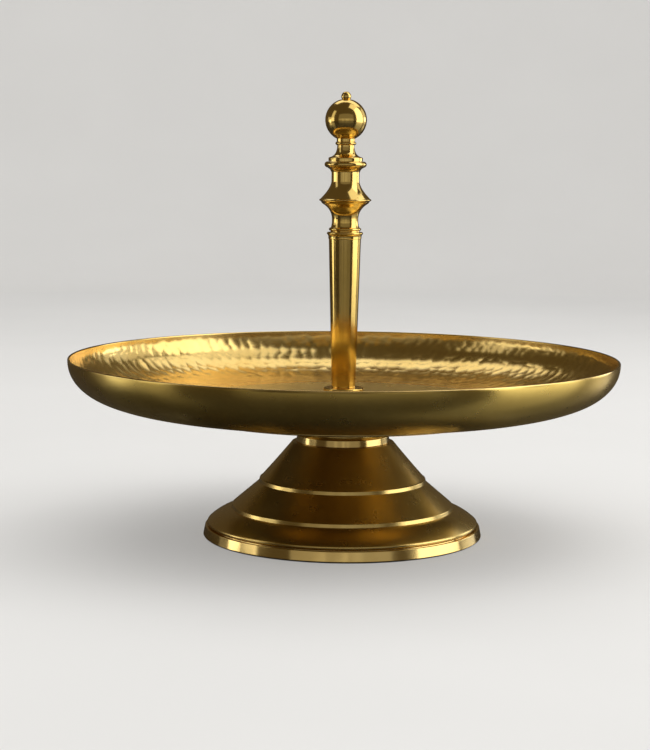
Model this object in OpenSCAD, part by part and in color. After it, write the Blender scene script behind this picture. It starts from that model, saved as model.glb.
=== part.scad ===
// Cake stand: a shallow round tray on a stepped bell foot, with a turned column through the middle.
// Z is up and is the turning axis of every piece. The origin is where that axis meets the table.

/* [Tray] */
// Outer diameter of the tray's rim
tray_d = 400; // [380:1:420]
// Height of the tray from its underside to the top of its rim
tray_h = 36.7; // [30:0.1:40]
// Diameter of the flat middle of the underside
tray_flat_d = 220; // [200:1:240]
// Sheet thickness of the floor
tray_floor_t = 2.1; // [1.6:0.1:3]
// Thickness of the rounded lip
lip_t = 1.8; // [1.4:0.1:2.4]
// Diameter of the backing disc under the tray
disc_d = 232; // [200:1:240]
// Height of the backing disc's rolled edge
disc_h = 5.1; // [4:0.1:6]

/* [Foot] */
// Outer diameter of the base ring
foot_d = 204; // [195:1:220]
// Height of the top of the base ring above the table
ring_top = 8.1; // [7:0.1:9]
// Thickness of the felt under the base ring
felt_t = 0.8; // [0.5:0.1:1.2]
// Radius of the lower step at its top edge
low_step_r = 81.0; // [78:0.1:84]
// Height of the lower step's top edge
low_step_z = 23.5; // [22:0.1:25]
// Radius of the upper step at its top edge
high_step_r = 60.9; // [58:0.1:62]
// Height of the upper step's top edge
high_step_z = 42.8; // [41:0.1:44]
// Height of each step's upright face
riser_h = 2.8; // [2:0.1:3]
// Radius of the foot where it meets the collar
crown_r = 37.3; // [36:0.1:39]
// Height of the foot's crown above the table
crown_z = 69.4; // [68:0.1:73]
// Wall thickness of the foot's shell
shell_t = 1.6; // [1.2:0.1:2]
// Height of the collar on the crown
collar_h = 5.2; // [4:0.1:8]
// Height of the neck between the collar and the gasket
neck_h = 14.8; // [13:0.1:20]
// Height of the round groove between the collar and the neck's rolled lower edge
cove_h = 4.1; // [3:0.1:4.5]

/* [Column] */
// Diameter of the flange that the stem stands on
flange_d = 29.4; // [28:0.1:32]
// Height of that flange above the tray's floor
flange_h = 12.3; // [10:0.1:14]
// Diameter of the stem at its foot
stem_low_d = 17.4; // [17:0.1:20]
// Diameter of the stem at its top
stem_top_d = 23.3; // [22:0.1:24]
// Length of the stem
stem_h = 108.3; // [100:0.1:140]
// Diameter of the sharp edge of the knop
knop_d = 37.7; // [34:0.1:40]

/* [Finial] */
// Diameter of the finial's ball
ball_d = 30; // [28:0.5:34]
// Diameter of the finial's foot
finial_foot_d = 24.8; // [24:0.1:26]

/* [Fixings] */
// Thread diameter of the anchor bolt
bolt_d = 8; // [8:0.1:8.2]
// Length of the anchor bolt under its head
bolt_len = 60; // [56:1:62]
// Thread diameter of the rod through the turned pieces
rod_d = 6; // [5.8:0.1:6]
// Length of that rod
rod_len = 88.5; // [87:0.5:89.5]

/* [Hidden] */
$fn = 96;

brass = [0.72, 0.55, 0.26];
dark_brass = [0.5, 0.36, 0.14];
steel = [0.62, 0.63, 0.65];
fibre = [0.5, 0.2, 0.14];
felt = [0.09, 0.08, 0.08];

// Gaps: a hole that a bolt passes through, and the play in a thread or a brazed joint
clear = 0.4;
play = 0.05;

bolt_r = bolt_d / 2;
bolt_hole_r = bolt_r + clear;
rod_r = rod_d / 2;
rod_hole_r = rod_r + 0.1;

// Heights, from the table up
foot_r = foot_d / 2;
edge_roll = 2;
edge_roll_r = foot_r - 4.9;
collar_z = crown_z + collar_h;
neck_z = collar_z + neck_h;
neck_r = crown_r - 0.6;
gasket_t = 0.4;
disc_z = neck_z + gasket_t;
tray_z = disc_z + disc_h;
floor_z = tray_z + tray_floor_t;
rim_z = tray_z + tray_h;

// The flange sits in a shallow seat in the tray's floor, on a washer that its counterbore hides
seat_r = flange_d / 2 + 0.5;
seat_z = floor_z - 0.3;
column_washer_t = 0.8;
flange_z = seat_z + 0.2;
stem_z = floor_z + flange_h;
insert_z = floor_z + 5.5;
insert_r = 6.5;
insert_len = 25;
stem_top_z = stem_z + stem_h;
plug_r = 9.4;
plug_len = 12.5;
rod_z = stem_top_z - plug_len + 0.3;

// The turned pieces on the rod, each standing on the one below
bead_z = stem_top_z + 5;
knop_z = bead_z + 3.2;
knop_edge_z = knop_z + 19.8;
bead_ring_z = knop_z + 39.7;
finial_z = bead_ring_z + 7.9;
finial_washer_t = 0.8;

// The crown's fixings, from the crown's underside down
crown_t = 1.8;
washer_z = crown_z - crown_t - 1.6;
lock_z = washer_z - 2;
bolt_head_h = 5.3;
bolt_head_r = 7.5;

// Points along an arc about [x, z], from one angle to another
function arc(x, z, r, from, to, steps = 6) =
    [for (i = [0:steps]) let (a = from + (to - from) * i / steps) [x + r * cos(a), z + r * sin(a)]];

// Points along a smooth bend from p to q, pulled towards the corner c
function bend(p, c, q, steps = 8) =
    [for (i = [0:steps]) let (t = i / steps) (1 - t) * (1 - t) * p + 2 * t * (1 - t) * c + t * t * q];

// One side of the tray's section: a flat middle that rises ever more steeply to the rim
function bowl(flat_r, rim_r, low_z, high_z, steps = 24) =
    [for (i = [0:steps]) let (a = 90 * i / steps)
        [flat_r + (rim_r - flat_r) * pow(cos(a), 0.649), high_z - (high_z - low_z) * pow(sin(a), 0.926)]];

function flip(points) = [for (i = [len(points) - 1:-1:0]) points[i]];

// A lathe-turned piece, from its half section
module turned(section) {
    rotate_extrude() polygon(section);
}

// A plain round disc or tube with a hole
module tube(r_out, r_in, z, h) {
    translate([0, 0, z]) difference() {
        cylinder(r = r_out, h = h);
        translate([0, 0, -1]) cylinder(r = r_in, h = h + 2);
    }
}

module base_felt() {
    color(felt) tube(foot_r - 1.2, foot_r - 10.5, 0, felt_t);
}

// Heavy ring that the shell stands on, leaning in a little, with a parting groove beside the shell's edge
module base_ring() {
    inner_r = foot_r - 10;
    top_r = foot_r - 1.2;
    color(brass) turned(concat(
        [[inner_r, felt_t]],
        arc(foot_r - 0.5, felt_t + 0.5, 0.5, -90, 10, 4),
        arc(top_r - 0.5, ring_top - 0.5, 0.5, 10, 90, 4),
        [
            [edge_roll_r + 2, ring_top],
            [edge_roll_r + 1.6, ring_top - 0.9],
            [edge_roll_r + 0.3, ring_top - 0.9],
            [edge_roll_r, ring_top],
            [inner_r, ring_top]
        ]
    ));
}

// Spun bell with a rolled edge, two upright steps, and a flat crown with a bolt hole
module foot_shell() {
    step_edge = 0.6;
    riser_lean = 0.4;
    low_foot = [low_step_r + riser_lean, low_step_z - riser_h];
    high_foot = [high_step_r + riser_lean, high_step_z - riser_h];
    crown_in = [crown_r - shell_t - 0.1, crown_z - crown_t];
    color(brass) turned(concat(
        arc(edge_roll_r, ring_top + edge_roll, edge_roll, -90, 30),
        bend([edge_roll_r + 1.3, ring_top + 3.5], [low_step_r + 9.5, low_step_z - 5], low_foot),
        arc(low_step_r - step_edge, low_step_z - step_edge, step_edge, 8, 50, 4),
        [high_foot],
        arc(high_step_r - step_edge, high_step_z - step_edge, step_edge, 8, 50, 4),
        bend([high_step_r - 1, high_step_z + 0.3], [high_step_r - 10.3, high_step_z + 10.5],
             [crown_r, crown_z], 12),
        [[bolt_hole_r, crown_z], [bolt_hole_r, crown_z - crown_t]],
        bend(crown_in, [high_step_r - 11.7, high_step_z + 9.2],
             [high_step_r - shell_t, high_step_z - 1.2], 12),
        [
            [high_step_r - 1.4, high_step_z - riser_h - 1],
            [low_step_r - shell_t, low_step_z - 1.5]
        ],
        bend([low_step_r - 1.3, low_step_z - riser_h - 1], [low_step_r + 7.9, low_step_z - 6.2],
             [edge_roll_r - 1.5, ring_top + 1.8]),
        [[edge_roll_r - 1.5, ring_top]]
    ));
}

// Band on the crown, leaning in a little
module foot_collar() {
    low_r = crown_r - 3.2;
    top_r = low_r - 0.4;
    color(brass) turned(concat(
        [[bolt_hole_r, crown_z]],
        arc(low_r - 0.4, crown_z + 0.4, 0.4, -90, 5, 3),
        arc(top_r - 0.4, collar_z - 0.4, 0.4, 5, 90, 3),
        [[bolt_hole_r, collar_z]]
    ));
}

// Spacer that carries the tray: a rolled lower edge above a half-round groove, hollow from below
module foot_neck() {
    bore_r = neck_r - 10.5;
    groove_r = cove_h / 2;
    roll_r = 0.9;
    color(brass) turned(concat(
        [[bore_r, collar_z]],
        arc(neck_r - 3.6, collar_z + groove_r, groove_r, -90, -270, 12),
        arc(neck_r - roll_r, collar_z + cove_h + roll_r, roll_r, -90, 0),
        [
            [neck_r, neck_z],
            [bolt_hole_r, neck_z],
            [bolt_hole_r, neck_z - 4],
            [bore_r, neck_z - 4]
        ]
    ));
}

module foot_washer() {
    color(steel) tube(14, bolt_hole_r, washer_z, 1.6);
}

// Split spring washer
module lock_washer() {
    color(steel) difference() {
        tube(7.4, bolt_r + 0.15, lock_z, 2);
        translate([0, -0.7, lock_z - 1]) cube([10, 1.4, 4]);
    }
}

module anchor_bolt() {
    tip_z = lock_z + bolt_len;
    color(steel) union() {
        translate([0, 0, lock_z - bolt_head_h]) cylinder(r = bolt_head_r, h = bolt_head_h, $fn = 6);
        translate([0, 0, lock_z]) cylinder(r = bolt_r, h = bolt_len - 0.8);
        translate([0, 0, tip_z - 0.8]) cylinder(r1 = bolt_r, r2 = bolt_r - 0.8, h = 0.8);
    }
}

module tray_gasket() {
    color(fibre) tube(neck_r - 1, bolt_hole_r, neck_z, gasket_t);
}

// Backing disc: a thin plate with a raised hub and a raised, rounded edge that bear on the tray
module tray_disc() {
    r = disc_d / 2;
    edge_r = 0.8;
    plate_top = disc_z + 1.7;
    color(brass) turned(concat(
        [[bolt_hole_r, disc_z]],
        arc(r - edge_r, disc_z + edge_r, edge_r, -90, 0, 5),
        [
            [r, tray_z - 0.5],
            [r - 0.5, tray_z],
            [r - 4, tray_z],
            [r - 4, plate_top],
            [24, plate_top],
            [24, tray_z],
            [bolt_hole_r, tray_z]
        ]
    ));
}

// Shallow hammered tray, with a rounded lip and a seat for the column's flange
module tray() {
    rim_r = tray_d / 2;
    flat_r = tray_flat_d / 2;
    lip_r = lip_t / 2;
    lip_z = rim_z - lip_r;
    outer = bowl(flat_r, rim_r, tray_z, lip_z);
    inner = bowl(flat_r, rim_r - lip_t, floor_z, lip_z);
    color(brass) turned(concat(
        [[bolt_hole_r, tray_z]],
        flip(outer),
        arc(rim_r - lip_r, lip_z, lip_r, 20, 160, 6),
        inner,
        [[seat_r, floor_z], [seat_r, seat_z], [bolt_hole_r, seat_z]]
    ));
}

module column_washer() {
    color(fibre) tube(flange_d / 2 - 1.6, bolt_hole_r, seat_z, column_washer_t);
}

// Flange at the foot of the column, counterbored for its washer and bored for the stem's insert
module column_base() {
    r = flange_d / 2;
    bore_r = flange_d / 2 - 1.3;
    color(brass) turned(concat(
        [[bolt_hole_r, seat_z + column_washer_t], [bore_r, seat_z + column_washer_t], [bore_r, flange_z]],
        [[r, flange_z]],
        arc(r - 1.2, stem_z - 1.2, 1.2, 0, 90, 5),
        [[insert_r + play, stem_z], [insert_r + play, insert_z], [bolt_hole_r, insert_z]]
    ));
}

// Tapered tube, closed by the threaded insert below and the plug above
module stem() {
    color(brass) turned([
        [insert_r + play, stem_z],
        [stem_low_d / 2, stem_z],
        [stem_top_d / 2, stem_top_z],
        [plug_r + play, stem_top_z],
        [plug_r + play, stem_top_z - plug_len - 1],
        [insert_r + play, insert_z + insert_len + 1]
    ]);
}

module stem_insert() {
    color(dark_brass) tube(insert_r, bolt_r + play, insert_z, insert_len);
}

module stem_plug() {
    color(dark_brass) tube(plug_r, rod_r + play, stem_top_z - plug_len, plug_len);
}

module column_rod() {
    color(steel) translate([0, 0, rod_z]) union() {
        cylinder(r = rod_r, h = rod_len - 0.6);
        translate([0, 0, rod_len - 0.6]) cylinder(r1 = rod_r, r2 = rod_r - 0.6, h = 0.6);
    }
}

// Cup-shaped collar on top of the stem, with a rolled top edge
module stem_collar() {
    z = stem_top_z;
    r = stem_top_d / 2;
    color(brass) turned(concat(
        [[rod_hole_r, z], [r + 0.2, z], [r + 0.4, z + 0.3]],
        bend([r + 0.4, z + 0.5], [r + 0.3, z + 2.6], [r + 1, z + 3.2], 5),
        arc(r + 0.5, z + 3.95, 0.95, -50, 90),
        [[r - 0.4, bead_z], [rod_hole_r, bead_z]]
    ));
}

module stem_bead() {
    r = stem_top_d / 2 - 1;
    color(brass) turned(concat(
        [[rod_hole_r, bead_z], [r, bead_z], [r - 0.2, bead_z + 0.8]],
        arc(r - 0.1, bead_z + 1.9, 1.1, -60, 80),
        [[r - 0.3, knop_z], [rod_hole_r, knop_z]]
    ));
}

// Waisted double cone that comes to a thin rounded edge, with a small step under the edge
module knop() {
    r = knop_d / 2;
    edge_z = knop_edge_z;
    waist_r = 9.5;
    waist_z = knop_z + 4.8;
    upper_r = 10.1;
    color(brass) turned(concat(
        [[rod_hole_r, knop_z]],
        bend([waist_r + 0.8, knop_z], [waist_r, knop_z + 2], [waist_r, waist_z], 6),
        bend([waist_r, waist_z + 0.6], [waist_r - 0.1, waist_z + 8.2], [r - 2.3, edge_z - 2.6], 12),
        [[r - 1.6, edge_z - 1.8], [r - 1.2, edge_z - 1]],
        arc(r - 0.6, edge_z, 0.6, -60, 75, 5),
        bend([r - 0.8, edge_z + 0.8], [upper_r + 0.7, edge_z + 8], [upper_r, edge_z + 13.2], 12),
        [[upper_r, bead_ring_z], [rod_hole_r, bead_ring_z]]
    ));
}

// Thick roll on a flare that swells from the knop's neck
module bead_ring() {
    z = bead_ring_z;
    roll_r = 2.15;
    neck_side = [10.4, z + 0.3];
    color(brass) turned(concat(
        [[rod_hole_r, z], [neck_side[0], z]],
        bend(neck_side, [neck_side[0] + 0.7, z + 2.4], [neck_side[0] + 2.8, z + 3.3], 6),
        arc(neck_side[0] + 2.65, z + 5.6, roll_r, -72, 90, 10),
        [[12, finial_z - 0.1], [12, finial_z], [rod_hole_r, finial_z]]
    ));
}

module finial_washer() {
    color(fibre) tube(8, rod_r + clear, finial_z, finial_washer_t);
}

// Ball on a waisted foot, bored from below for the rod, with a small button on top
module finial() {
    foot_r_out = finial_foot_d / 2;
    ball_r = ball_d / 2;
    z = finial_z + 0.1;
    bore_z = finial_z + 22;
    waist_r = 6.2;
    ball_z = z + 16 + ball_r * 0.9;
    button_z = ball_z + ball_r;
    color(brass) turned(concat(
        [[8.4, z], [foot_r_out, z]],
        arc(foot_r_out - 0.7, z + 2, 0.7, 0, 90, 3),
        bend([foot_r_out - 1.6, z + 3], [waist_r, z + 4.6], [waist_r, z + 11.4], 8),
        arc(waist_r, z + 12.7, 1.3, -75, 75),
        arc(0, ball_z, ball_r, -64, 74, 20),
        arc(0, button_z + 1.6, 3.6, -35, 90, 8),
        [
            [0, bore_z],
            [rod_r + play, bore_z],
            [rod_r + play, finial_z + finial_washer_t],
            [8.4, finial_z + finial_washer_t]
        ]
    ));
}

base_felt();
base_ring();
foot_shell();
foot_collar();
foot_neck();
foot_washer();
lock_washer();
anchor_bolt();
tray_gasket();
tray_disc();
tray();
column_washer();
column_base();
stem();
stem_insert();
stem_plug();
column_rod();
stem_collar();
stem_bead();
knop();
bead_ring();
finial_washer();
finial();
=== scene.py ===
"""The looks of the cake stand: spun, turned and hammered brass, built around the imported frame.

Every visible piece is round, so each is a section turned about the Z axis. Sections are lists of
(radius, height) in millimetres, and start from the heights and radii of the CAD nodes they stand for.
"""
import math

import bmesh
import bpy
import numpy as np
from mathutils import Euler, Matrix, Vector

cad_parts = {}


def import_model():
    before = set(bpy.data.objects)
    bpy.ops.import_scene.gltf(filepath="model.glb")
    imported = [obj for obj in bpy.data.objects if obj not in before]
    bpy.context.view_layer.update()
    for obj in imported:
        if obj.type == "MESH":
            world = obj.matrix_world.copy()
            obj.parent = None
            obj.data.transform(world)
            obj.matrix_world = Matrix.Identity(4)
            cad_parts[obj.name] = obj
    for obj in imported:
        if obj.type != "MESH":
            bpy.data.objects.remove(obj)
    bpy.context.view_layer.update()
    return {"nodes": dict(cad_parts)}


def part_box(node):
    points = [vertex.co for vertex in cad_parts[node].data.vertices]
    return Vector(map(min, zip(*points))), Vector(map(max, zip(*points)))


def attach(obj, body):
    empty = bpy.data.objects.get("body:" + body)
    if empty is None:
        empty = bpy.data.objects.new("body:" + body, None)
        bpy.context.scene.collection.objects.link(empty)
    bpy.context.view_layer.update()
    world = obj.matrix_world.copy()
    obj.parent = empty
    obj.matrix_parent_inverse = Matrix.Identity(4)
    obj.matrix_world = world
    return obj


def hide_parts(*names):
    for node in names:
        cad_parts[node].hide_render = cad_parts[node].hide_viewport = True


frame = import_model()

MM = 0.001

# ---------------------------------------------------------------- sizes from the frame


def low(node):
    """Height of a CAD node's lowest point, in millimetres."""
    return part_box(node)[0].z / MM


def high(node):
    """Height of a CAD node's highest point, in millimetres."""
    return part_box(node)[1].z / MM


def reach(node):
    """Largest radius of a CAD node about the Z axis, in millimetres."""
    places = np.array([v.co for v in frame["nodes"][node].data.vertices])
    return np.hypot(places[:, 0], places[:, 1]).max() / MM


# ---------------------------------------------------------------- sections


def arc(r, z, radius, start, end, steps=10):
    """Points along an arc about (r, z), between two angles in degrees."""
    turns = np.radians(np.linspace(start, end, steps + 1))
    return [(r + radius * math.cos(t), z + radius * math.sin(t)) for t in turns]


def bend(p, corner, q, steps=16):
    """Points along a smooth bend from p to q, pulled towards the corner."""
    shares = np.linspace(0, 1, steps + 1)
    return [tuple((1 - t) ** 2 * np.array(p) + 2 * t * (1 - t) * np.array(corner) + t * t * np.array(q))
            for t in shares]


def bowl(flat_r, rim_r, low_z, high_z, steps):
    """One side of the tray's section, from the rim down to the edge of the flat middle.

    It is a quarter of an oval, which the two powers make fuller than an ellipse.
    """
    out_power, down_power = 0.649, 0.926
    turns = np.linspace(0, math.pi / 2, steps + 1)
    return [(flat_r + (rim_r - flat_r) * max(math.cos(t), 0) ** out_power,
             high_z - (high_z - low_z) * math.sin(t) ** down_power) for t in turns]


def held(section, longest=4.0, edge=0.15):
    """The closed section with extra points on its long stretches, so that smooth shading stays flat there."""
    points = []
    for here, there in zip(section, section[1:] + section[:1]):
        points.append(here)
        length = math.dist(here, there)
        if length < 4 * edge:
            continue
        inner = max(1, math.ceil((length - 2 * edge) / longest))
        shares = np.linspace(edge / length, 1 - edge / length, inner + 1)
        points += [tuple(np.array(here) + t * (np.array(there) - np.array(here))) for t in shares]
    return points


# ---------------------------------------------------------------- meshes


def turned(name, section, segments=256, shape=None, sharp=38):
    """A mesh turned about Z. A section that starts and ends on the axis closes there, any other is a ring."""
    points = np.array(section, float)
    angles = 2 * math.pi * np.arange(segments) / segments
    radius = np.repeat(points[:, :1], segments, axis=1)
    height = np.repeat(points[:, 1:], segments, axis=1)
    if shape:
        radius, height = shape(radius, height, angles)
    places = np.stack([radius * np.cos(angles), radius * np.sin(angles), height], -1) * MM
    on_axis = points[0, 0] == 0 and points[-1, 0] == 0
    rows = np.arange(len(points) - 1 if on_axis else len(points))
    following = (rows + 1) % len(points)
    columns = np.arange(segments)
    beside = (columns + 1) % segments
    quads = np.stack([rows[:, None] * segments + columns, rows[:, None] * segments + beside,
                      following[:, None] * segments + beside, following[:, None] * segments + columns], -1)
    mesh = bpy.data.meshes.new(name)
    mesh.from_pydata(places.reshape(-1, 3).tolist(), [], quads.reshape(-1, 4).tolist())
    shell = bmesh.new()
    shell.from_mesh(mesh)
    if on_axis:
        bmesh.ops.remove_doubles(shell, verts=shell.verts, dist=1e-8)
    bmesh.ops.recalc_face_normals(shell, faces=shell.faces)
    shell.to_mesh(mesh)
    shell.free()
    mesh.shade_smooth()
    mesh.set_sharp_from_angle(angle=math.radians(sharp))
    piece = bpy.data.objects.new(name, mesh)
    bpy.context.scene.collection.objects.link(piece)
    return piece


def stand_in(node, section, material, body, slot, **options):
    """A turned piece that takes the place of the CAD node of nearly the same name."""
    piece = turned(node + "_finished", section, **options)
    piece.data.materials.append(material)
    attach(piece, body)
    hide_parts(node)
    return piece


def wavy(depth, counts, phase=0.0):
    """A shape that moves a turned piece's wall in and out a little, as hand polishing leaves it."""
    def shape(radius, height, angles):
        swell = sum(math.sin(1.7 * n + phase) * np.sin(n * angles + 2.3 * n + height / 9) for n in counts)
        return radius + depth * swell / len(counts) * (radius > 1), height
    return shape


def threaded(radius, height, angles, start_z, pitch, depth, shank_r):
    """The radius of a turned piece with a right-hand thread cut into its shank, from one height up."""
    turn = ((height - start_z) / pitch - angles / (2 * math.pi)) % 1
    groove = depth * (1 - np.abs(2 * turn - 1)) * np.clip((height - start_z) / pitch, 0, 1)
    cut = (height > start_z) & (radius > shank_r - 0.1)
    return np.where(cut, radius - groove, radius)


# ---------------------------------------------------------------- materials


def add(tree, kind, inputs=None, **settings):
    """A new shader node, with its settings, and its inputs linked or set."""
    made = tree.nodes.new("ShaderNode" + kind)
    for key, value in settings.items():
        setattr(made, key, value)
    for key, value in (inputs or {}).items():
        if isinstance(value, bpy.types.NodeSocket):
            tree.links.new(value, made.inputs[key])
        else:
            made.inputs[key].default_value = value
    return made


def ramp(tree, factor, stops):
    """A colour ramp over (position, colour) stops."""
    made = add(tree, "ValToRGB", {"Fac": factor})
    points = made.color_ramp.elements
    while len(points) < len(stops):
        points.new(0.5)
    for point, (place, colour) in zip(points, stops):
        point.position = place
        point.color = (*colour, 1)
    return made.outputs["Color"]


def spread(tree, factor, least, most):
    """Maps a 0 to 1 factor to a range of values."""
    return add(tree, "MapRange", {"Value": factor, "To Min": least, "To Max": most}).outputs["Result"]


def noise(tree, where, scale, detail=3, roughness=0.55):
    return add(tree, "TexNoise", {"Vector": where, "Scale": scale, "Detail": detail,
                                  "Roughness": roughness}).outputs[0]


def new_material(name):
    """An empty node material with its shader, output and object coordinates."""
    material = bpy.data.materials.new(name)
    material.use_nodes = True
    tree = material.node_tree
    tree.nodes.clear()
    shader = add(tree, "BsdfPrincipled")
    add(tree, "OutputMaterial", {"Surface": shader.outputs["BSDF"]})
    where = add(tree, "TexCoord").outputs["Object"]
    return material, tree, shader, where


def lathe_lines(tree, where, scale):
    """Noise that runs round the Z axis in fine lines, as a turning or polishing tool leaves them."""
    parts = add(tree, "SeparateXYZ", {"Vector": where})
    across = add(tree, "CombineXYZ", {"X": parts.outputs["X"], "Y": parts.outputs["Y"]})
    out = add(tree, "VectorMath", {0: across.outputs["Vector"]}, operation="LENGTH")
    section = add(tree, "CombineXYZ", {"X": out.outputs["Value"], "Y": parts.outputs["Z"]})
    return noise(tree, section.outputs["Vector"], scale, 4, 0.7)


def brass(name, bright, toned, rough, lines=0.02, stretch=0.0, grain=1800.0, patches=14.0):
    """Brass with slow changes of tone, finer changes of polish, and fine lines round the axis.

    The stretch is how far those lines draw a reflection out across themselves.
    """
    material, tree, shader, where = new_material(name)
    shader.inputs["Metallic"].default_value = 1
    shader.inputs["Anisotropic"].default_value = stretch
    shader.inputs["Anisotropic Rotation"].default_value = 0.25
    round_axis = add(tree, "Tangent", direction_type="RADIAL", axis="Z")
    tree.links.new(round_axis.outputs["Tangent"], shader.inputs["Tangent"])
    tone = noise(tree, where, patches, 5, 0.6)
    colour = ramp(tree, tone, [(0.36, toned), (0.62, bright)])
    tree.links.new(colour, shader.inputs["Base Color"])
    rub = noise(tree, where, patches * 5, 6, 0.65)
    tree.links.new(spread(tree, rub, rough[0], rough[1]), shader.inputs["Roughness"])
    turning = lathe_lines(tree, where, grain)
    bump = add(tree, "Bump", {"Strength": lines, "Distance": 0.0002, "Height": turning})
    tree.links.new(bump.outputs["Normal"], shader.inputs["Normal"])
    return material


def steel(name):
    """Zinc plating: pale, faintly blue, dulled in small patches."""
    material, tree, shader, where = new_material(name)
    shader.inputs["Metallic"].default_value = 1
    tone = noise(tree, where, 90, 4)
    tree.links.new(ramp(tree, tone, [(0.3, (0.42, 0.43, 0.45)), (0.7, (0.62, 0.63, 0.65))]),
                   shader.inputs["Base Color"])
    tree.links.new(spread(tree, tone, 0.42, 0.24), shader.inputs["Roughness"])
    bump = add(tree, "Bump", {"Strength": 0.08, "Distance": 0.0002, "Height": noise(tree, where, 1500, 4)})
    tree.links.new(bump.outputs["Normal"], shader.inputs["Normal"])
    return material


def felt(name):
    """Black wool felt: matted fibres, with a soft sheen."""
    material, tree, shader, where = new_material(name)
    fibres = noise(tree, where, 900, 6, 0.8)
    tree.links.new(ramp(tree, fibres, [(0.3, (0.006, 0.006, 0.006)), (0.7, (0.028, 0.026, 0.025))]),
                   shader.inputs["Base Color"])
    shader.inputs["Roughness"].default_value = 0.95
    shader.inputs["Sheen Weight"].default_value = 0.4
    bump = add(tree, "Bump", {"Strength": 0.6, "Distance": 0.0004, "Height": fibres})
    tree.links.new(bump.outputs["Normal"], shader.inputs["Normal"])
    return material


def fibre(name):
    """Red-brown vulcanised fibre, with the faint weave of its paper."""
    material, tree, shader, where = new_material(name)
    paper = noise(tree, where, 420, 5, 0.7)
    tree.links.new(ramp(tree, paper, [(0.3, (0.09, 0.022, 0.014)), (0.7, (0.17, 0.045, 0.028))]),
                   shader.inputs["Base Color"])
    shader.inputs["Roughness"].default_value = 0.6
    bump = add(tree, "Bump", {"Strength": 0.3, "Distance": 0.0002, "Height": paper})
    tree.links.new(bump.outputs["Normal"], shader.inputs["Normal"])
    return material


POLISHED = brass("brass_polished", (0.88, 0.65, 0.25), (0.80, 0.56, 0.19), (0.10, 0.20))
FOOT = brass("brass_foot", (0.84, 0.62, 0.22), (0.74, 0.51, 0.16), (0.20, 0.32), stretch=0.5)
COLUMN = brass("brass_column", (0.88, 0.62, 0.19), (0.78, 0.52, 0.13), (0.09, 0.17))
SATIN = brass("brass_satin", (0.84, 0.60, 0.16), (0.75, 0.51, 0.12), (0.24, 0.33), lines=0.08, stretch=0.8)
FLOOR = brass("brass_floor", (0.84, 0.66, 0.28), (0.74, 0.56, 0.22), (0.24, 0.34), lines=0.12, stretch=0.5)
HAMMERED = brass("brass_hammered", (0.87, 0.64, 0.24), (0.78, 0.54, 0.17), (0.18, 0.28), lines=0.0)
# Rougher, darker brass for the disc's downward face. The roughness is its duller finish; the darker colour is
# painted shade under the tray.
DULL_SHADED = brass("brass_dull_shaded", (0.62, 0.46, 0.20), (0.50, 0.36, 0.14), (0.36, 0.50), lines=0.3)
TURNED = brass("brass_turned", (0.76, 0.52, 0.17), (0.64, 0.41, 0.11), (0.3, 0.42), lines=0.3)
STEEL = steel("steel_zinc")
FELT = felt("felt_black")
FIBRE = fibre("fibre_red")

# ---------------------------------------------------------------- foot

RING_TOP = high("base_ring")
FOOT_R = reach("base_ring")
# Radius of the shell's rolled lower edge, and the radius that it rolls about
EDGE_ROLL = 2.0
EDGE_ROLL_R = FOOT_R - 4.9
# Top edges of the two steps and of the crown, as (radius, height)
LOW_STEP = (81.0, RING_TOP + 15.4)
HIGH_STEP = (60.9, RING_TOP + 34.7)
CROWN = (37.3, high("foot_shell"))
# Height of each step, and the rounding of its top edge
RISER = 2.8
STEP_EDGE = 0.6
# Radius of the bolt's hole through everything it clamps
BOLT_HOLE = 4.4


def base_ring():
    z0 = low("base_ring")
    inner_r, top_r = FOOT_R - 10, FOOT_R - 1.2
    section = ([(inner_r, z0)]
               + arc(FOOT_R - 0.5, z0 + 0.5, 0.5, -90, 10, 8)
               + arc(top_r - 0.5, RING_TOP - 0.5, 0.5, 10, 90, 8)
               + [(EDGE_ROLL_R + 2, RING_TOP), (EDGE_ROLL_R + 1.6, RING_TOP - 0.9),
                  (EDGE_ROLL_R + 0.3, RING_TOP - 0.9), (EDGE_ROLL_R, RING_TOP), (inner_r, RING_TOP)])
    stand_in("base_ring", held(section, 2), POLISHED, "base", "polished_brass",
             segments=384, shape=wavy(0.15, (17, 23, 31, 47, 61)))


def base_felt():
    z1 = high("base_felt")
    r1, r0 = reach("base_felt"), FOOT_R - 10.5
    outer_r = r1 - 0.3
    section = ([(r0, 0)] + arc(outer_r, 0.3, 0.3, -90, 0, 3) + arc(outer_r, z1 - 0.3, 0.3, 0, 90, 3)
               + [(r0, z1)])
    stand_in("base_felt", held(section, 2), FELT, "base", "felt", segments=192)


def step_edge(r, z):
    """The rounded top edge of one of the foot's upright steps."""
    return arc(r - STEP_EDGE, z - STEP_EDGE, STEP_EDGE, 8, 50, 8)


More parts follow.
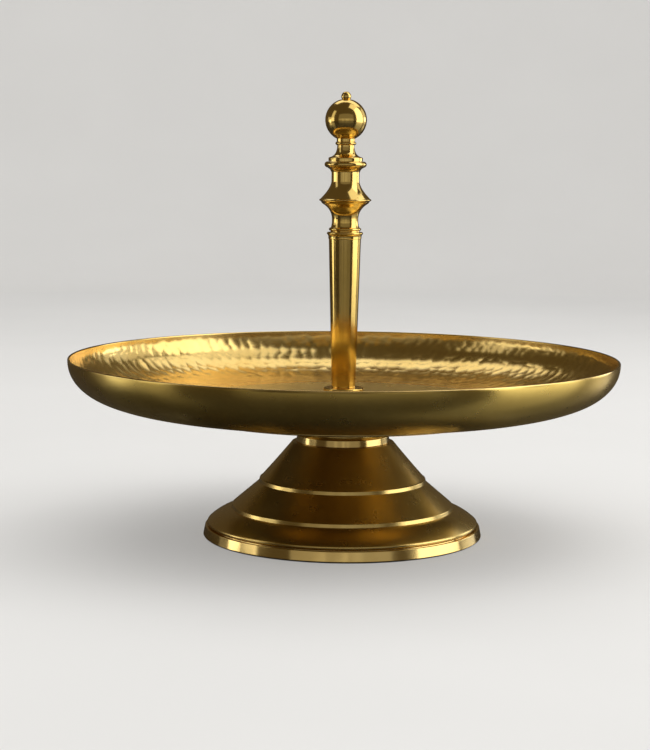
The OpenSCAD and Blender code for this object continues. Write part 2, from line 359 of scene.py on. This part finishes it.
def foot_shell():
    crown_r, crown_z = CROWN
    under_z = crown_z - 1.8
    low_r, low_z = LOW_STEP
    high_r, high_z = HIGH_STEP
    low_foot = (low_r + 0.4, low_z - RISER)
    outside = (arc(EDGE_ROLL_R, RING_TOP + EDGE_ROLL, EDGE_ROLL, -90, 30, 14)
               + bend((EDGE_ROLL_R + 1.3, RING_TOP + 3.5), (low_r + 9.5, low_z - 5), low_foot, 18)
               + step_edge(*LOW_STEP)
               + [(high_r + 0.4, high_z - RISER)]
               + step_edge(*HIGH_STEP)
               + bend((high_r - 1, high_z + 0.3), (high_r - 10.3, high_z + 10.5), CROWN, 28))
    inside = ([(BOLT_HOLE, crown_z), (BOLT_HOLE, under_z)]
              + bend((crown_r - 1.7, under_z), (high_r - 11.7, high_z + 9.2),
                     (high_r - 1.6, high_z - 1.2), 20)
              + [(high_r - 1.4, high_z - RISER - 1), (low_r - 1.6, low_z - 1.5)]
              + bend((low_r - 1.3, low_z - RISER - 1), (low_r + 7.9, low_z - 6.2),
                     (EDGE_ROLL_R - 1.5, RING_TOP + 1.8), 12)
              + [(EDGE_ROLL_R - 1.5, RING_TOP)])
    stand_in("foot_shell", held(outside + inside, 2), FOOT, "base", "foot_brass",
             segments=384, shape=wavy(0.06, (9, 13, 21), 1.0))


def foot_collar():
    z0, z1 = low("foot_collar"), high("foot_collar")
    low_r = reach("foot_collar")
    top_r = low_r - 0.4
    section = ([(BOLT_HOLE, z0)] + arc(low_r - 0.4, z0 + 0.4, 0.4, -90, 5, 6)
               + arc(top_r - 0.4, z1 - 0.4, 0.4, 5, 90, 6) + [(BOLT_HOLE, z1)])
    stand_in("foot_collar", held(section, 3), POLISHED, "base", "polished_brass",
             shape=wavy(0.05, (11, 17, 23), 2.0))


def foot_neck():
    r, z0, z1 = reach("foot_neck"), low("foot_neck"), high("foot_neck")
    bore_r, groove, roll = r - 10.5, 2.05, 0.9
    section = ([(bore_r, z0)]
               + arc(r - 3.6, z0 + groove, groove, -90, -270, 24)
               + arc(r - roll, z0 + 2 * groove + roll, roll, -90, 0, 12)
               + [(r, z1), (BOLT_HOLE, z1), (BOLT_HOLE, z1 - 4), (bore_r, z1 - 4)])
    stand_in("foot_neck", held(section, 3), FOOT, "base", "polished_brass")


def anchor_bolt():
    """Hexagon-headed bolt, chamfered under its head and threaded at its end."""
    head_z, tip_z = low("anchor_bolt"), high("anchor_bolt")
    seat_z = low("lock_washer")
    corner_r, shank_r, pitch = 7.5, 4.0, 1.25
    thread_z = tip_z - 30
    section = ([(0, head_z), (4, head_z), (6.3, head_z)]
               + [(corner_r, z) for z in np.arange(head_z + 0.05, head_z + 0.9, 0.1)]
               + [(corner_r, seat_z - 2), (corner_r, seat_z)]
               + [(shank_r + 0.3, seat_z), (shank_r, seat_z + 0.3)]
               + [(shank_r, z) for z in np.linspace(seat_z + 1, thread_z, 8)]
               + [(shank_r, z) for z in np.arange(thread_z + 0.1, tip_z - 0.8, pitch / 10)]
               + [(shank_r - 0.8, tip_z), (0, tip_z)])

    def shape(radius, height, angles):
        flats = corner_r * math.cos(math.pi / 6) / np.cos(angles % (math.pi / 3) - math.pi / 6)
        chamfer = 6.3 + (height - head_z) * math.sqrt(3)
        head = (height <= seat_z) & (radius > 7)
        radius = np.where(head, np.minimum(np.broadcast_to(flats, radius.shape), chamfer), radius)
        return threaded(radius, height, angles, thread_z, pitch, 0.62, shank_r), height

    stand_in("anchor_bolt", section, STEEL, "base", "zinc_steel", segments=96, shape=shape, sharp=30)


# ---------------------------------------------------------------- tray

TRAY_Z = low("tray")
RIM_Z = high("tray")
RIM_R = reach("tray")
FLOOR_Z = TRAY_Z + 2.1
LIP = 1.8
# Radius of the flat middle, and the radius inside which the hammered floor is rubbed paler
FLAT_R = 110.0
PALE_R = 128.0
# Spacing of the hammer marks round the axis
HAMMER_PITCH = 8.5
TRAY_SEGMENTS = 960
SEAT_R = reach("column_base") + 0.5
SEAT_Z = low("column_washer")


def hammer_marks(points, angles, pitch, tall=1.5):
    """Height of a hammered surface at every point of a turned section, and each point's way along it.

    Each blow leaves a shallow dimple, taller than it is wide; where dimples meet they leave a ridge.
    The blows lie in rows round the axis, each a little out of place.
    """
    random = np.random.default_rng(seed=5)
    along = np.concatenate([[0], np.cumsum(np.hypot(*np.diff(points, axis=0).T))])
    marks = np.full((len(points), len(angles)), 9.0)
    for row in np.arange(-pitch, along[-1] + pitch, pitch * tall * 0.87):
        row_r = np.interp(row, along, points[:, 0])
        count = max(8, round(2 * math.pi * row_r / pitch))
        step = 2 * math.pi / count
        blow_turn = (np.arange(count) + random.uniform(-0.22, 0.22, count) + random.uniform()) * step
        blow_along = row + random.uniform(-0.18, 0.18, count) * pitch * tall
        blow_radius = random.uniform(0.85, 1.3, count)
        blow_depth = random.uniform(-0.15, 0.15, count)
        nearest = np.round((angles - blow_turn[0]) / step).astype(int)
        for ring in np.flatnonzero(np.abs(along - row) < 2.2 * pitch * tall):
            for beside in (-2, -1, 0, 1, 2):
                blow = (nearest + beside) % count
                turn = (angles - blow_turn[blow] + math.pi) % (2 * math.pi) - math.pi
                up = (along[ring] - blow_along[blow]) / tall
                far = (up ** 2 + (points[ring, 0] * turn) ** 2) / pitch ** 2
                marks[ring] = np.minimum(marks[ring], far / blow_radius[blow] + blow_depth[blow])
    return marks, along


def tray():
    lip_r = LIP / 2
    lip_z = RIM_Z - lip_r
    under = [(BOLT_HOLE, TRAY_Z)] + [(r, TRAY_Z) for r in np.linspace(20, FLAT_R - 6, 12)]
    outer = bowl(FLAT_R, RIM_R, TRAY_Z, lip_z, 60)[::-1]
    lip = arc(RIM_R - lip_r, lip_z, lip_r, 10, 170, 12)
    wall = bowl(FLAT_R, RIM_R - LIP, FLOOR_Z, lip_z, 110)
    floor = [(r, FLOOR_Z) for r in np.arange(FLAT_R - 1.3, SEAT_R + 0.5, -1.3)]
    section = (under + outer + lip + wall + floor
               + [(SEAT_R, FLOOR_Z), (SEAT_R, SEAT_Z), (BOLT_HOLE, SEAT_Z)])
    first = len(under) + len(outer) + len(lip)
    last = first + len(wall) + len(floor)
    beaten = np.array(section[first:last])
    slope = np.gradient(beaten, axis=0)
    slope /= np.hypot(*slope.T)[:, None]
    inward = np.stack([slope[:, 1], -slope[:, 0]], -1)

    def shape(radius, height, angles):
        marks, along = hammer_marks(beaten, angles, HAMMER_PITCH)
        edge = np.clip((along - 1.5) / 4, 0, 1) * np.clip((along[-1] - along) / 6, 0, 1)
        depth = np.interp(beaten[:, 0], [FLAT_R, 140, 160, 175], [0.2, 0.6, 0.85, 0.95]) * edge
        lift = (marks - 0.25) * depth[:, None]
        radius[first:last] += lift * inward[:, :1]
        height[first:last] += lift * inward[:, 1:]
        swell = sum(np.sin(n * angles + 1.9 * n + height / 14) for n in (5, 8, 13, 21))
        outside = np.arange(len(section)) < first - len(lip)
        radius += 0.05 * swell * outside[:, None] * (radius > FLAT_R)
        return radius, height

    piece = stand_in("tray", section, SATIN, "base", "tray_brass",
                     segments=TRAY_SEGMENTS, shape=shape, sharp=50)
    for material in (HAMMERED, POLISHED, FLOOR):
        piece.data.materials.append(material)
    rows = np.arange(len(piece.data.polygons)) // TRAY_SEGMENTS
    first_pale = first + np.flatnonzero(beaten[:, 0] < PALE_R)[0]
    on_wall = (rows >= first) & (rows < first_pale)
    on_lip = (rows >= first - len(lip)) & (rows < first)
    on_floor = (rows >= first_pale) & (rows <= last + 1)
    slots = on_wall + 2 * on_lip + 3 * on_floor
    piece.data.polygons.foreach_set("material_index", slots.astype(np.int32))


def tray_disc():
    r, z0, z1 = reach("tray_disc"), low("tray_disc"), high("tray_disc")
    plate, edge = z0 + 1.7, 0.8
    section = ([(BOLT_HOLE, z0)] + arc(r - edge, z0 + edge, edge, -90, 0)
               + [(r, z1 - 0.5), (r - 0.5, z1), (r - 4, z1), (r - 4, plate)]
               + [(24, plate), (24, z1), (BOLT_HOLE, z1)])
    piece = stand_in("tray_disc", held(section, 5), POLISHED, "base", "tray_brass", segments=384)
    # Faces that point down take the darker brass, whose darker colour is painted shade under the tray.
    piece.data.materials.append(DULL_SHADED)
    shaded_underside = [int(face.normal.z < -0.95) for face in piece.data.polygons]
    piece.data.polygons.foreach_set("material_index", shaded_underside)


# ---------------------------------------------------------------- column

STEM_Z = low("stem")
STEM_TOP = high("stem")
STEM_LOW_R = 8.7
STEM_TOP_R = reach("stem")
ROD_HOLE = 3.1


def column_base():
    r, z0, z1 = reach("column_base"), low("column_base"), high("column_base")
    washer_z = high("column_washer")
    section = ([(BOLT_HOLE, washer_z), (r - 1.3, washer_z), (r - 1.3, z0), (r, z0)]
               + arc(r - 1.2, z1 - 1.2, 1.2, 0, 90)
               + [(6.55, z1), (6.55, low("stem_insert")), (BOLT_HOLE, low("stem_insert"))])
    stand_in("column_base", held(section, 2), COLUMN, "column", "column_brass", segments=192)


def stem():
    section = [(6.55, STEM_Z), (STEM_LOW_R - 0.2, STEM_Z), (STEM_LOW_R, STEM_Z + 0.2), (STEM_TOP_R, STEM_TOP),
               (9.45, STEM_TOP), (9.45, STEM_TOP - 13.5), (6.55, high("stem_insert") + 1)]
    stand_in("stem", held(section, 3), COLUMN, "column", "column_brass", segments=192)


def stem_collar():
    z, r, z1 = low("stem_collar"), STEM_TOP_R, high("stem_collar")
    section = ([(ROD_HOLE, z), (r + 0.2, z), (r + 0.4, z + 0.3)]
               + bend((r + 0.4, z + 0.5), (r + 0.3, z + 2.6), (r + 1, z + 3.2), 12)
               + arc(r + 0.5, z + 3.95, 0.95, -50, 90, 14)
               + [(r - 0.4, z1), (ROD_HOLE, z1)])
    stand_in("stem_collar", held(section, 2, 0.08), COLUMN, "column", "column_brass", segments=192)


def stem_bead():
    z, r, z1 = low("stem_bead"), STEM_TOP_R - 1, high("stem_bead")
    section = ([(ROD_HOLE, z), (r, z), (r - 0.2, z + 0.8)]
               + arc(r - 0.1, z + 1.9, 1.1, -60, 80, 14)
               + [(r - 0.3, z1), (ROD_HOLE, z1)])
    stand_in("stem_bead", held(section, 2, 0.08), COLUMN, "column", "column_brass", segments=192)


def knop():
    z0, z1, r = low("knop"), high("knop"), reach("knop")
    edge = z0 + 19.8
    waist_r, waist_z, upper_r = 9.5, z0 + 4.8, 10.1
    section = ([(ROD_HOLE, z0)]
               + bend((waist_r + 0.8, z0), (waist_r, z0 + 2), (waist_r, waist_z), 12)
               + bend((waist_r, waist_z + 0.6), (waist_r - 0.1, waist_z + 8.2), (r - 2.3, edge - 2.6), 26)
               + [(r - 1.6, edge - 1.8), (r - 1.2, edge - 1)]
               + arc(r - 0.6, edge, 0.6, -60, 75)
               + bend((r - 0.8, edge + 0.8), (upper_r + 0.7, edge + 8), (upper_r, edge + 13.2), 26)
               + [(upper_r, z1), (ROD_HOLE, z1)])
    stand_in("knop", held(section, 2, 0.1), COLUMN, "column", "column_brass", segments=192)


def bead_ring():
    z0, z1, r = low("bead_ring"), high("bead_ring"), 10.4
    section = ([(ROD_HOLE, z0), (r, z0)]
               + bend((r, z0 + 0.3), (r + 0.7, z0 + 2.4), (r + 2.8, z0 + 3.3), 12)
               + arc(r + 2.65, z0 + 5.6, 2.15, -72, 90, 22)
               + [(12, z1 - 0.1), (12, z1), (ROD_HOLE, z1)])
    stand_in("bead_ring", held(section, 2, 0.1), COLUMN, "column", "column_brass", segments=192)


def column_rod():
    """Plain rod with a threaded end, which shows when the finial is unscrewed."""
    z0, z1, r, pitch = low("column_rod"), high("column_rod"), 3.0, 1.0
    thread_z = z1 - 25
    section = ([(0, z0), (r - 0.4, z0), (r, z0 + 0.4)] + [(r, z) for z in np.linspace(z0 + 4, thread_z, 12)]
               + [(r, z) for z in np.arange(thread_z + 0.1, z1 - 0.6, pitch / 10)] + [(r - 0.6, z1), (0, z1)])

    def shape(radius, height, angles):
        return threaded(radius, height, angles, thread_z, pitch, 0.5, r), height

    stand_in("column_rod", section, STEEL, "column", "zinc_steel", segments=72, shape=shape, sharp=30)


def finial():
    z0, z1 = low("finial"), high("finial")
    foot_r, ball_r, neck_r = 12.4, reach("finial"), 6.2
    ball_z = z0 + 16 + ball_r * 0.9
    washer_z = high("finial_washer")
    bore_z = low("finial_washer") + 22
    section = ([(0, bore_z), (3.05, bore_z), (3.05, washer_z), (8.4, washer_z), (8.4, z0), (foot_r, z0)]
               + arc(foot_r - 0.7, z0 + 2, 0.7, 0, 90, 6)
               + bend((foot_r - 1.6, z0 + 3), (neck_r, z0 + 4.6), (neck_r, z0 + 11.4), 18)
               + arc(neck_r, z0 + 12.7, 1.3, -75, 75)
               + arc(0, ball_z, ball_r, -64, 74, 40)
               + arc(0, z1 - 3.6, 3.6, -35, 90, 14)[:-1] + [(0, z1)])
    stand_in("finial", section, COLUMN, "finial", "column_brass", segments=192)


# ---------------------------------------------------------------- stage


def room():
    """Plain pale floor that curves up into a round wall."""
    section = ([(0, 0)] + [(r, 0) for r in (500, 1500, 2400)]
               + arc(2400, 1400, 1400, -90, 0, 24) + [(3800, 4200)])
    floor = turned("room", section + [(0, 4200)], segments=96, sharp=60)
    material, tree, shader, where = new_material("pale_floor")
    colour = ramp(tree, noise(tree, where, 3, 2), [(0.3, (0.48, 0.475, 0.465)), (0.7, (0.5, 0.495, 0.485))])
    tree.links.new(colour, shader.inputs["Base Color"])
    shader.inputs["Roughness"].default_value = 0.8
    shader.inputs["Emission Color"].default_value = (1, 0.99, 0.97, 1)
    shader.inputs["Emission Strength"].default_value = 0.27
    floor.data.materials.append(material)
    floor.visible_glossy = False


def softbox(name, centre, size, radiance, target=None):
    """A plain rectangular light of even radiance, facing the stand's axis unless it has a target."""
    lamp = bpy.data.lights.new(name, "AREA")
    lamp.shape = "RECTANGLE"
    lamp.size, lamp.size_y = size
    lamp.energy = radiance * math.pi * size[0] * size[1]
    holder = bpy.data.objects.new(name, lamp)
    holder.location = centre
    aim = Vector(target or (0, 0, centre[2])) - Vector(centre)
    holder.rotation_euler = aim.to_track_quat("-Z", "Y").to_euler()
    bpy.context.scene.collection.objects.link(holder)
    return holder


def dark_table():
    """What the metal sees below it: a dark, softly glossy board that only reflections show."""
    section = [(0, 0), (3000, 0), (3000, -1), (0, -1)]
    board = turned("dark_table", section, segments=64)
    board.location.z = 0.0005
    material, tree, shader, where = new_material("dark_board")
    colour = ramp(tree, noise(tree, where, 2, 2), [(0.3, (0.025, 0.025, 0.028)), (0.7, (0.035, 0.035, 0.04))])
    tree.links.new(colour, shader.inputs["Base Color"])
    shader.inputs["Roughness"].default_value = 0.2
    shader.inputs["IOR"].default_value = 2.0
    board.data.materials.append(material)
    board.visible_camera = False
    board.visible_diffuse = False
    board.visible_shadow = False
    board.visible_transmission = False


def world():
    sky = bpy.data.worlds.new("studio")
    sky.use_nodes = True
    background = sky.node_tree.nodes["Background"]
    background.inputs["Color"].default_value = (0.085, 0.066, 0.04, 1)
    bpy.context.scene.world = sky


def lights():
    """Softboxes at both sides and overhead, dim panels in front, and a fill that only the room sees."""
    stand = (0, 0, 0.12)
    softbox("right", (1.73, -0.2, 1.15), (1.5, 2.4), 2.0)
    softbox("right_back", (1.56, 1.09, 0.72), (0.88, 1.5), 0.7)
    softbox("right_edge", (1.50, 1.12, 0.36), (0.6, 0.34), 2.2)
    softbox("right_top", (0.75, -0.1, 1.75), (1.0, 0.8), 1.0, stand)
    softbox("left", (-1.7, 0.1, 0.33), (1.5, 0.46), 0.55)
    softbox("left_edge", (-1.68, 0.24, 0.14), (0.4, 0.34), 2.0)
    softbox("left_tall", (-1.67, -0.3, 0.9), (0.54, 1.6), 0.7)
    softbox("overhead", (0.2, 1.0, 1.7), (2.2, 0.85), 1.25, stand)
    softbox("front_table", (0, -2.6, 0.1), (4.6, 0.2), 0.2)
    softbox("front_low", (0, -2.6, 0.4), (4.6, 0.4), 0.32)
    softbox("front_high", (0, -2.6, 1.3), (4.6, 1.4), 0.13)
    for x, width, radiance in ((-0.8, 0.3, 0.15), (0.06, 0.22, 0.2), (0.5, 0.26, 0.12)):
        softbox("front_card", (x, -2.5, 0.25), (width, 0.5), radiance)
    fill = softbox("fill", (0, -0.6, 3.2), (3, 3), 1.0, (0, -0.6, 0))
    fill.visible_glossy = False


def camera():
    """The photograph's view: 1.37 m away, 6.75 degrees down, with a slight lean."""
    lens = bpy.data.cameras.new("camera")
    lens.sensor_width = 36
    lens.lens = 90.67
    lens.clip_end = 20
    view = bpy.data.objects.new("camera", lens)
    view.location = (-0.01355, -1.37058, 0.28043)
    down = Euler((math.radians(90 - 6.755), 0, 0)).to_matrix()
    lean = Euler((0, 0, math.radians(0.5))).to_matrix()
    view.rotation_euler = (down @ lean).to_euler()
    bpy.context.scene.collection.objects.link(view)
    bpy.context.scene.camera = view


# ---------------------------------------------------------------- the scene

for build in (base_felt, base_ring, foot_shell, foot_collar, foot_neck, anchor_bolt, tray, tray_disc,
              column_base, stem, stem_collar, stem_bead, knop, bead_ring, column_rod, finial):
    build()

# Hidden pieces that keep their CAD shapes
plain = {"foot_washer": STEEL, "lock_washer": STEEL, "stem_insert": TURNED, "stem_plug": TURNED,
         "tray_gasket": FIBRE, "column_washer": FIBRE, "finial_washer": FIBRE}
for node, material in plain.items():
    frame["nodes"][node].data.materials.clear()
    frame["nodes"][node].data.materials.append(material)

room()
dark_table()
world()
lights()
camera()
bpy.context.scene.view_settings.view_transform = "Standard"
